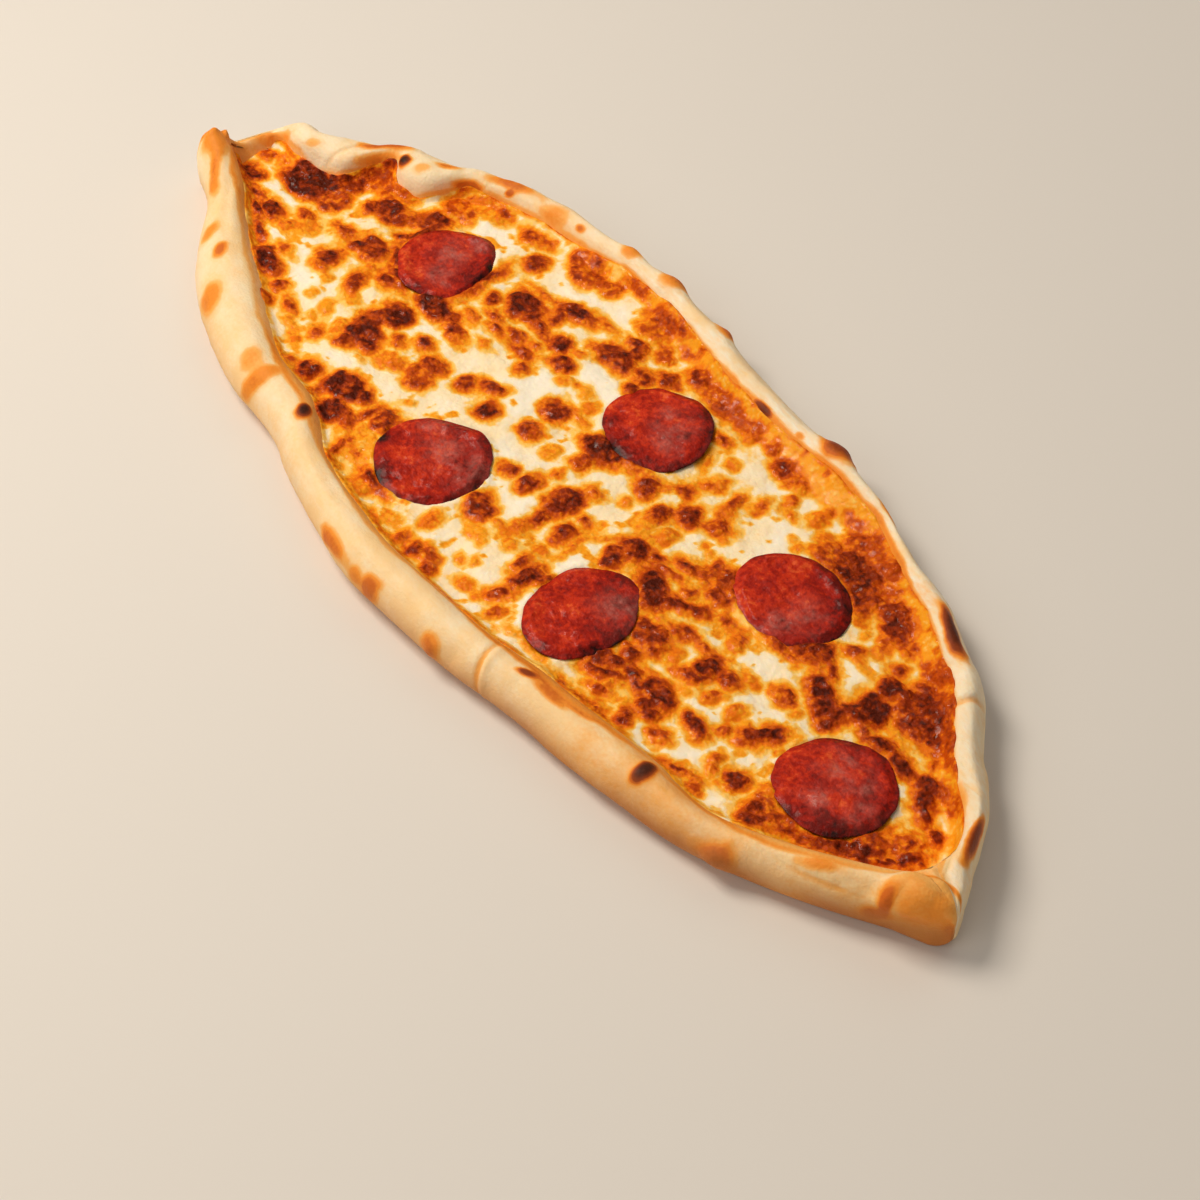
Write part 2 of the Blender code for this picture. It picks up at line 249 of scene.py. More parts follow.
# Browned bubbles, creases and folds of each rim, laid one over the other: (x, mm inward of the crest, half
# length, half width, turn, swelling in mm, browning from 0 to 1).
NEAR_BUBBLES = (
    (-184, -1, 7, 6, 0, 0.2, 0.42), (-173.5, -3.5, 7, 3, 0, 0.3, 0.46), (-152, -4, 3, 4.5, 0, 0.3, 0.4),
    (-141, 0, 2.6, 2.6, 0, 0.3, 0.52), (-126, -8, 5, 5, 0, 0.5, 0.44), (-92, -1.5, 4, 4, 0, 0.2, 0.34),
    (-84, -3, 3.2, 10, -12, 0.5, 0.44), (-63, 3.5, 3, 2.6, -20, 1.0, 0.98), (-15, -8, 7, 3, 0, 1.0, 0.52),
    (-1, -9, 3, 3, 0, 0.4, 0.45), (5.5, -9, 4, 4.5, 0, 0.6, 0.58), (34, -9.5, 3.5, 4, 0, 1.6, 0.52),
    (42, -8, 4, 4, 0, -0.6, 0.12), (50.5, -4, 0.9, 9, 14, -0.8, 0.3), (52.6, -4, 1.1, 9, 14, 0.6, 0.12),
    (62.3, 2, 3.2, 1.4, 20, 0.3, 0.8), (72, 2, 6, 2, 0, 0.2, 0.5), (108.5, 1.5, 2.3, 4.6, 10, 1.0, 0.95),
    (138.5, -8.2, 5, 4.2, 0, 2.4, 0.66), (160.5, -0.5, 4, 2, 0, 0.2, 0.4), (165, -6, 8, 1, -12, -0.4, 0.24),
    (188, -5, 8, 9, 0, 0.6, 0.37), (179, -7, 1.8, 6, 14, 0.6, 0.58), (177.5, -13, 3, 3, 0, 0.2, 0.56),
    (194, -6, 2, 5, 0, 0.1, 0.5),
)
FAR_BUBBLES = (
    (-134, 7, 9, 9, 0, 1.8, 0.02), (136.6, 0.5, 6, 6, 0, 1.6, 0.02), (-183, 9, 6, 4, 0, 0.3, 0.36),
    (-168, 5.6, 2.5, 2, 0, 0.1, 0.28), (-158, 4, 1, 7, 10, -0.6, 0.15), (-152.5, -0.5, 6, 3, 10, 0.5, 0.58),
    (-149, 8.3, 4, 4.5, 0, 0.2, 0.46), (-142, 5.5, 2.6, 2.0, 30, 1.2, 0.98), (-135, 5.7, 2.3, 2, 0, 0.0, 0.28),
    (-131, 0.8, 3, 1.5, 0, 0.1, 0.5), (-122.5, 7.8, 4, 2.5, 0, -0.3, 0.58), (-112, 1, 8, 2.6, 0, 0.4, 0.5),
    (-110.4, 4.9, 1.3, 1.3, 0, 0.1, 0.6), (-93, 5.2, 5, 4.5, 0, 0.3, 0.36), (-82, 3.2, 1.8, 1.3, 0, 0.2, 0.5),
    (-62, -0.5, 4, 3.5, 0, 1.0, 0.42), (-42.5, -4, 5.5, 5, 0, 2.4, 0.52), (-15.5, -5, 3.8, 3.5, 0, 2.0, 0.56),
    (18.7, 5.3, 4.5, 1.5, 0, 0.6, 0.85), (34.3, 3.5, 1.8, 1.3, 0, 0.1, 0.42), (46.5, -3, 7, 5, 0, 2.6, 0.72),
    (74, -1, 5, 1.2, 0, 0.1, 0.42), (105, 2, 8, 3, 0, 0.2, 0.2), (121, -0.5, 9, 3.2, 0, 0.6, 0.92),
    (142, 1, 0.9, 8, 18, -1.0, 0.24), (166, 6.8, 5, 3, 0, 0.2, 0.34), (179, -1.6, 4.5, 3.8, 0, 0.3, 0.72),
    (185.5, 9, 3, 3, 0, 0.1, 0.4),
)
# Where fat from the cheese has soaked into each rim: (x, mm inward of the crest where it starts, browning).
NEAR_STAIN = (
    (-190, 3, 0.42), (-170, 3.5, 0.4), (-159, 6, 0.32), (-149, 8, 0.26), (-120, 8, 0.22), (-107, 5.5, 0.26),
    (-95, 7, 0.42), (-82, 4, 0.42), (-63, 3, 0.36), (-40, 5, 0.3), (0, 5, 0.32), (28, 7, 0.38), (45, 4, 0.46),
    (58, 4, 0.48), (70, 1, 0.52), (85, 2.8, 0.48), (97, 5, 0.4), (106, 4.5, 0.3), (120, 4.8, 0.42), (131, 3.6, 0.44),
    (140, 0.5, 0.4), (150, 0, 0.4), (165, 0, 0.34), (180, 3, 0.3),
)
FAR_STAIN = (
    (-185, 8, 0.32), (-172, 8, 0.28), (-164, 14, 0.2), (-156, 14, 0.22), (-149, 8, 0.42), (-142, 14, 0.22),
    (-132, 14, 0.24), (-124, 7, 0.4), (-100, 7, 0.28),
    (-75, 6, 0.36), (-60, 5, 0.42), (0, 5, 0.42), (40, 3, 0.42), (60, 2, 0.44), (92, 1.5, 0.46), (100, 4, 0.46),
    (125, 5, 0.4), (150, 6, 0.34),
    (180, 8, 0.3),
)
# The folded-over end of the near rim, a thick flap: the line where its edge lies on the far rim.
FLAP_EDGE = ((174, -19), (178, -14.5), (182, -11.2), (186, -9), (190, -8.3), (194, -8.6))

on_horn = ease((-172 - x) / 10)
inner_slope = ease((inward - 2.5) / 3)
height = 0.9 * lumps(rings, 26, 1) + 0.4 * lumps(rings, 9, 2) + 0.12 * lumps(rings, 3, 3)
height += 0.25 * lumps(rings * (0.3, 1, 1), 4, 9) * ~is_near
height *= (1 - 0.6 * on_horn) * (1 - 0.8 * inner_slope)
# Painted shade: the near rim grows browner towards its +X end, where the light falls off.
heat = 0.07 + 0.05 * lumps(rings, 24, 4) + 0.04 * lumps(rings, 7, 5) + 0.12 * is_near * ease((x - 20) / 110)
# Browner low on the near rim: partly browning by the baking stone, partly painted shade near the floor.
heat += 0.2 * ease(1 - rings[..., 2] / 9) * is_near
warp = 1 + 0.22 * lumps(rings, 5, 6) + 0.1 * lumps(rings, 2, 10)
for bubbles, side in ((NEAR_BUBBLES, is_near), (FAR_BUBBLES, ~is_near)):
    for bx, across, half_length, half_width, turn, swelling, browning in bubbles:
        outside = (oval(x - bx, inward - across, half_length, half_width, turn) + 1) * warp + 9 * ~side
        height += swelling * np.exp(-outside**2)
        heat += (browning - heat) * np.exp(-0.7 * outside**4)
for stain, side in ((NEAR_STAIN, is_near), (FAR_STAIN, ~is_near)):
    sx, start, browning = np.array(stain).T
    reach = inward - np.interp(x, sx, start) + 0.8 * lumps(rings, 8, 7) + 0.4 * lumps(rings, 3, 11)
    soaked = np.interp(x, sx, browning) * (ease((reach + 1.2) / 2.6) - 0.3 * ease((reach - 1) / 3))
    heat = np.where(side, np.maximum(heat, soaked), heat)
above_flap = smooth_through(x, FLAP_EDGE) - rings[..., 1]
on_top = ease((rings[..., 2] - 11) / 4) * ease((x - 174) / 5)
flap_step = on_top * (1 - 0.8 * ease((x - 184) / 6))
height += flap_step * (1.6 * ease((above_flap + 0.5) / 2.2) - 0.2 * np.exp(-(((above_flap + 1.4) / 1.4) ** 2)))
heat = np.maximum(heat, 0.46 * on_top * np.exp(-(((above_flap + 0.2) / 0.9) ** 2)))
# Flour dusts the rims; on the far rim's lobes it reaches down their inner faces as painted light, paling faces that
# lie in shade.
floury_to = 7 + 9 * ease((-122 - x) / 10) * ~is_near
flour = ease((inward + 8) / 4) * ease((floury_to - inward) / 4)
flour *= np.where(is_near, 0.25, 0.5 + 0.5 * ease((x + 90) / 40))
flour *= ease(0.7 + 0.6 * lumps(rings * (0.4, 1, 1), 5, 12)) * ease((0.3 - heat) / 0.15)
# Painted shade on the near rim's crust, darker towards the floor and towards its +X end.
tan = is_near * ease(1.5 - rings[..., 2] / 11) * (0.3 + 0.7 * ease((x + 30) / 110))
tan *= 0.85 + 0.3 * lumps(rings, 12, 13)
base_browning = 0.35 + 0.25 * lumps(rings, 14, 8)
heat = np.where(rings[..., 2] < 0.6, base_browning, heat)
height *= ease((rings[..., 2] - 1.5) / 6)
rings = rings + outward(rings) * height[..., None]
rings[..., 2] = np.maximum(rings[..., 2], 0)
baked = rings
dough = closed_mesh("baked_dough", baked, browning=heat, flour=flour, tan=tan)


def shade(red, green, blue):
    """A colour seen on a screen, 0 to 255 each, as linear light: ((c / 255 + 0.055) / 1.055) ^ 2.4."""
    return (*((np.array((red, green, blue)) / 255 + 0.055) / 1.055) ** 2.4, 1.0)


def add(tree, kind, inputs, **settings):
    """A new node with its settings, each input set to a value or linked from a socket."""
    node = tree.nodes.new(kind)
    for name, value in settings.items():
        setattr(node, name, value)
    for name, value in inputs.items():
        if isinstance(value, bpy.types.NodeSocket):
            tree.links.new(value, node.inputs[name])
        else:
            node.inputs[name].default_value = value
    return node


def calc(tree, operation, a, b):
    """a and b put through one Math node."""
    return add(tree, "ShaderNodeMath", {0: a, 1: b}, operation=operation).outputs[0]


def grain(tree, place, size, detail, strength):
    """Noise of that size in mm, swinging from -strength to +strength about 0."""
    noise = add(tree, "ShaderNodeTexNoise", {"Vector": place, "Scale": 1 / (size * mm), "Detail": detail})
    return calc(tree, "MULTIPLY", calc(tree, "SUBTRACT", noise.outputs["Fac"], 0.5), 2 * strength)


def ramp(tree, factor, stops):
    """Colours that blend into each other along the factor: (position, (red, green, blue))."""
    node = add(tree, "ShaderNodeValToRGB", {"Fac": factor})
    node.color_ramp.interpolation = "EASE"
    elements = node.color_ramp.elements
    while len(elements) < len(stops):
        elements.new(0.5)
    for element, (position, colour) in zip(elements, stops):
        element.position = position
        element.color = shade(*colour)
    return node.outputs["Color"]


def new_material(name):
    """An empty node material: its tree, its Principled BSDF and its Object coordinates."""
    material = bpy.data.materials.new(name)
    material.use_nodes = True
    tree = material.node_tree
    place = add(tree, "ShaderNodeTexCoord", {}).outputs["Object"]
    return material, tree, tree.nodes["Principled BSDF"], place


crust, tree, surface, place = new_material("baked_crust")
browning = add(tree, "ShaderNodeAttribute", {}, attribute_name="browning").outputs["Fac"]
mottled = calc(tree, "ADD", browning, grain(tree, place, 7, 3, 0.07))
mottled = calc(tree, "ADD", mottled, grain(tree, place, 1.2, 4, 0.05))
colour = ramp(tree, mottled, (
    (0.0, (251, 227, 186)), (0.12, (250, 210, 150)), (0.26, (248, 178, 90)), (0.40, (242, 146, 44)),
    (0.54, (210, 104, 24)), (0.74, (142, 58, 14)), (1.0, (56, 20, 8)),
))
# A pale dusting: flour, and painted light on the far lobes' inner faces.
flour = add(tree, "ShaderNodeAttribute", {}, attribute_name="flour").outputs["Fac"]
streaks = add(tree, "ShaderNodeMapping", {"Vector": place, "Scale": (0.4, 1.0, 1.0)}).outputs["Vector"]
powder_and_light = calc(tree, "MULTIPLY", flour, calc(tree, "ADD", 0.6, grain(tree, streaks, 1.6, 4, 1.2)))
dusted_and_lit = add(tree, "ShaderNodeMix", {"Factor": powder_and_light, "A": colour, "B": shade(248, 234, 208)}, data_type="RGBA")
# Painted shade: the near rim's crust darkened towards the floor and towards its +X end.
tan = add(tree, "ShaderNodeAttribute", {}, attribute_name="tan").outputs["Fac"]
tanned = add(tree, "ShaderNodeMix", {"Factor": calc(tree, "MULTIPLY", tan, 0.95), "A": dusted_and_lit.outputs["Result"],
                                     "B": shade(190, 116, 54)}, data_type="RGBA")
tree.links.new(tanned.outputs["Result"], surface.inputs["Base Color"])
skin = calc(tree, "ADD", grain(tree, place, 0.9, 4, 0.5), grain(tree, place, 4, 3, 0.6))
skin = calc(tree, "ADD", skin, calc(tree, "MULTIPLY", powder_and_light, 0.8))
bump = add(tree, "ShaderNodeBump", {"Height": skin, "Strength": 0.45, "Distance": 0.5 * mm})
tree.links.new(bump.outputs["Normal"], surface.inputs["Normal"])
surface.inputs["Roughness"].default_value = 0.55
surface.inputs["Specular IOR Level"].default_value = 0.2
surface.inputs["Subsurface Weight"].default_value = 0.15
surface.inputs["Subsurface Radius"].default_value = (1.0, 0.55, 0.3)
surface.inputs["Subsurface Scale"].default_value = 2.5 * mm
dough.data.materials.append(crust)
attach(dough, "root")
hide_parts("dough")

# ---------------------------------------------------------------------------------------------------------
# The sausage: round slices of cured, spiced sausage laid on before baking. Their edges have shrivelled and
# charred, their middles domed up, and fat and spice give them a mottled, oily, dark red face. Their colour
# also holds a painted sheen, painted shade on some edges, and painted light and shade across each slice.

SLICE_RINGS = 72
SLICE_SPOKES = 240
# Each slice: its tilts about X and Y in degrees, the height of its dome, the height of its raised brim and
# the brim's direction in degrees, and how far it is twisted.
SLICES = (
    (-3, 3, 0.9, 1.3, 60, 0.5), (2, -2, 1.5, 0.6, 120, -0.3), (2, 2, 1.0, 0.8, 60, 0.4),
    (-2, -2, 1.3, 0.7, 250, 0.3), (2, 2, 1.0, 1.0, 60, -0.4), (-2, -2, 1.5, 0.7, 60, 0.3),
)
# Each slice's radius in mm at every 30 degrees, from +X round by +Y.
SLICE_OUTLINES = (
    (15.2, 15.5, 17, 19.2, 17, 17, 16.3, 16, 15.5, 16.8, 16.2, 17.4),
    (17.8, 17, 17, 17.2, 16.7, 18.4, 19, 19.2, 17.6, 17.5, 17.6, 18),
    (17.2, 17.8, 18.2, 19, 17.3, 18.7, 19.7, 19.5, 18, 17.8, 17.2, 17.6),
    (15.8, 16, 16.3, 19.3, 18, 18.3, 16, 16.2, 17.6, 19.6, 19.8, 17),
    (17.8, 17.9, 16.9, 16.3, 16.7, 17.8, 19.7, 18.7, 16.2, 15.2, 15.7, 17),
    (17.8, 17.9, 17.3, 17.8, 17.1, 17.6, 17.8, 17.8, 17.2, 16.6, 17.2, 17.5),
)
# Places on the slices, as (x, y, radius): pale bloom of fat under a painted sheen, and charred spots,
# some of them painted shade on the slices' darker edges.
BLOOMS_AND_SHEEN = (
    (-100, 25, 6), (-94, 16, 5), (-98, 34, 3), (2, 38, 4), (8, 36, 6), (12, 31, 4), (-26, -26, 6), (-36, -24, 4),
    (-16, -25, 6), (55, -20, 6), (89, 22, 5), (86, 15, 4), (138, -3, 6), (145, -4, 4), (142, -16, 4), (152, -10, 4),
)
CHARS_AND_SHADE = (
    (-31, -49, 6), (-84, 26, 5), (-86, 33, 5), (151, -19, 7), (158, -6, 5), (95, 33, 7), (86, 39, 6), (5, 17, 7),
    (-10, 20, 4), (-11, -25, 6), (-9, -36, 5), (64, -35, 4), (60, -14, 3), (138, -26, 4), (-43, -38, 3),
)


def near_spots(points, spots):
    """From 1 in the middle of the nearest spot down to 0: the greatest exp(-(distance / radius)^2)."""
    return np.maximum.reduce([
        np.exp(-(np.hypot(points[..., 0] - sx, points[..., 1] - sy) / radius) ** 2) for sx, sy, radius in spots
    ])


def slice_reach(number, angle):
    """Radius of a slice's outline in a direction in radians, smoothly through the values at every 30 degrees."""
    outline = [((k - 2) * 30, SLICE_OUTLINES[number - 1][(k - 2) % 12]) for k in range(16)]
    return smooth_through(np.degrees(angle), outline)


def slice_grid(number, tilt_x, tilt_y, dome, brim, brim_at, twist):
    """A slice as rings from the middle of its top, over the edge, to the middle of its underside.

    The radius runs smoothly through the outline's values, with small waves where the edge has shrivelled.
    The top's height is the dome, 1 - r^2, a brim exp(-((r - 0.86) / 0.1)^2), highest on one side, with a
    groove inside it, and random wrinkles, on a blunt edge sqrt(1 - r^10). The whole is twisted by
    r^2 cos 2a and turned by its tilts."""
    low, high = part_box(f"sausage_slice_{number}")
    centre = np.array((low + high) / 2) / mm
    rng = np.random.default_rng(40 + number)
    along = np.linspace(0.01, 0.99, SLICE_RINGS)[:, None]
    angle = np.linspace(0, math.tau, SLICE_SPOKES, endpoint=False)[None]
    share = np.sin(np.where(along < 0.8, along / 0.8, (1 - along) / 0.2) * math.pi / 2) ** 0.8
    waves = sum(rng.uniform(-1, 1) * 0.07 * np.cos(k * angle + rng.uniform(0, math.tau)) for k in range(7, 20))
    radius = share * slice_reach(number, angle) + waves * share**6
    px, py = radius * np.cos(angle), radius * np.sin(angle)
    flat = np.stack([px + centre[0], py + centre[1], 0 * px], -1)
    brim_side = 0.35 + 0.65 * (0.5 + 0.5 * np.cos(angle - math.radians(brim_at))) ** 2
    profile = dome * (1 - share**2) + 0.5 * lumps(flat, 7, 20) + 0.3 * lumps(flat, 3, 21) + 0.14 * lumps(flat, 1.3, 22)
    profile = profile + brim * brim_side * np.exp(-(((share - 0.86) / 0.1) ** 2))
    profile = profile - 0.5 * brim * brim_side * np.exp(-(((share - 0.62) / 0.12) ** 2))
    edge = 0.6 * np.sqrt(np.clip(1 - share**10, 0, 1))
    pz = np.where(along < 0.8, edge + profile * ease((1 - share) / 0.2), -edge)
    pz = pz + twist * share**2 * np.cos(2 * (angle - math.radians(brim_at)))
    pz = pz + py * math.sin(math.radians(tilt_x)) - px * math.sin(math.radians(tilt_y))
    grid = np.stack([flat[..., 0], flat[..., 1], pz + CHEESE_LEVEL + 1.0], -1)
    rim = 0.30 * np.where(along < 0.8, share**7, 0.8) + 0.08 * lumps(flat, 4, 23)
    # Painted light and shade: each slice lighter on the side towards the key lamp, darker on the far side.
    rim = rim + 0.2 * share * np.cos(angle - math.radians(25))
    # Charred places, some of them painted shade on the slices' darker edges.
    rim = np.maximum(rim, 0.72 * near_spots(flat + 1.5 * lumps(flat, 4, 24)[..., None], CHARS_AND_SHADE) * share**2)
    # Pale fat bloom, partly a painted sheen.
    bloom = near_spots(flat + 1.2 * lumps(flat, 3, 26)[..., None], BLOOMS_AND_SHEEN) * (0.7 + 0.6 * lumps(flat, 2.5, 25))
    return grid, np.broadcast_to(rim, px.shape), bloom, centre[:2]


cured, tree, surface, place = new_material("cured_sausage")
rim = add(tree, "ShaderNodeAttribute", {}, attribute_name="rim").outputs["Fac"]
bloom = add(tree, "ShaderNodeAttribute", {}, attribute_name="bloom").outputs["Fac"]
# The rim attribute holds the charred, darker edge and painted light and shade across each slice.
patchy = calc(tree, "ADD", calc(tree, "ADD", rim, 0.28), grain(tree, place, 7, 2, 0.45))
patchy = calc(tree, "ADD", patchy, grain(tree, place, 1.6, 4, 0.42))
meat = ramp(tree, patchy, (
    (0.0, (226, 86, 36)), (0.2, (196, 46, 14)), (0.42, (158, 26, 8)), (0.66, (108, 16, 8)), (1.0, (38, 8, 6)),
))
# A pale greyish pink over the meat: fat bloom and a painted sheen.
bloom_and_sheen_amount = calc(tree, "MULTIPLY", bloom, calc(tree, "ADD", 0.48, grain(tree, place, 1.2, 4, 0.7)))
face = add(tree, "ShaderNodeMix", {"Factor": bloom_and_sheen_amount, "A": meat, "B": shade(190, 112, 100)}, data_type="RGBA")
tree.links.new(face.outputs["Result"], surface.inputs["Base Color"])
wrinkles = calc(tree, "ADD", grain(tree, place, 0.8, 3, 0.5), grain(tree, place, 2.4, 3, 0.9))
bump = add(tree, "ShaderNodeBump", {"Height": wrinkles, "Strength": 0.6, "Distance": 0.5 * mm})
tree.links.new(bump.outputs["Normal"], surface.inputs["Normal"])
surface.inputs["Roughness"].default_value = 0.45
surface.inputs["Specular IOR Level"].default_value = 0.1
surface.inputs["Coat Weight"].default_value = 0.09
surface.inputs["Coat Roughness"].default_value = 0.12

slice_centres = []
for number, shape in enumerate(SLICES, 1):
    grid, rim, bloom, centre = slice_grid(number, *shape)
    piece = closed_mesh(f"cured_slice_{number}", grid, rim=rim, bloom=bloom)
    piece.data.materials.append(cured)
    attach(piece, "root")
    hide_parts(f"sausage_slice_{number}")
    slice_centres.append(centre)

# ---------------------------------------------------------------------------------------------------------
# The cheese: grated cheese melted into one sheet over the floor of the boat. It is pale and satin where it
# only melted, and stands up in dark, lumpy, crisp blisters with orange edges where it fried in its own fat.
# Its colour also holds painted shadow beside slices 1 and 5, painted shade along the near wall, and
# painted highlights and shade on the blisters' bubbles.

CHEESE_STATIONS = 520
CHEESE_ACROSS = 176

# How far the cheese climbs the far rim, from 0 at its wall to 1 at its lip, and how wide its slope is there.
FAR_CLIMB = (
    (-188, 0.3, 5), (-157, 0.0, 4), (-150, 0.5, 6), (-146, 0.9, 6), (-140, 0.1, 4), (-130, 0.0, 4), (-122, 0.8, 5),
    (-112, 0.2, 5), (-85, 0.1, 5), (-60, 0.6, 6), (-40, 0.9, 7), (0, 1, 8), (40, 1, 11), (60, 1, 11), (100, 1, 10),
    (150, 1, 8), (180, 1, 6),
)
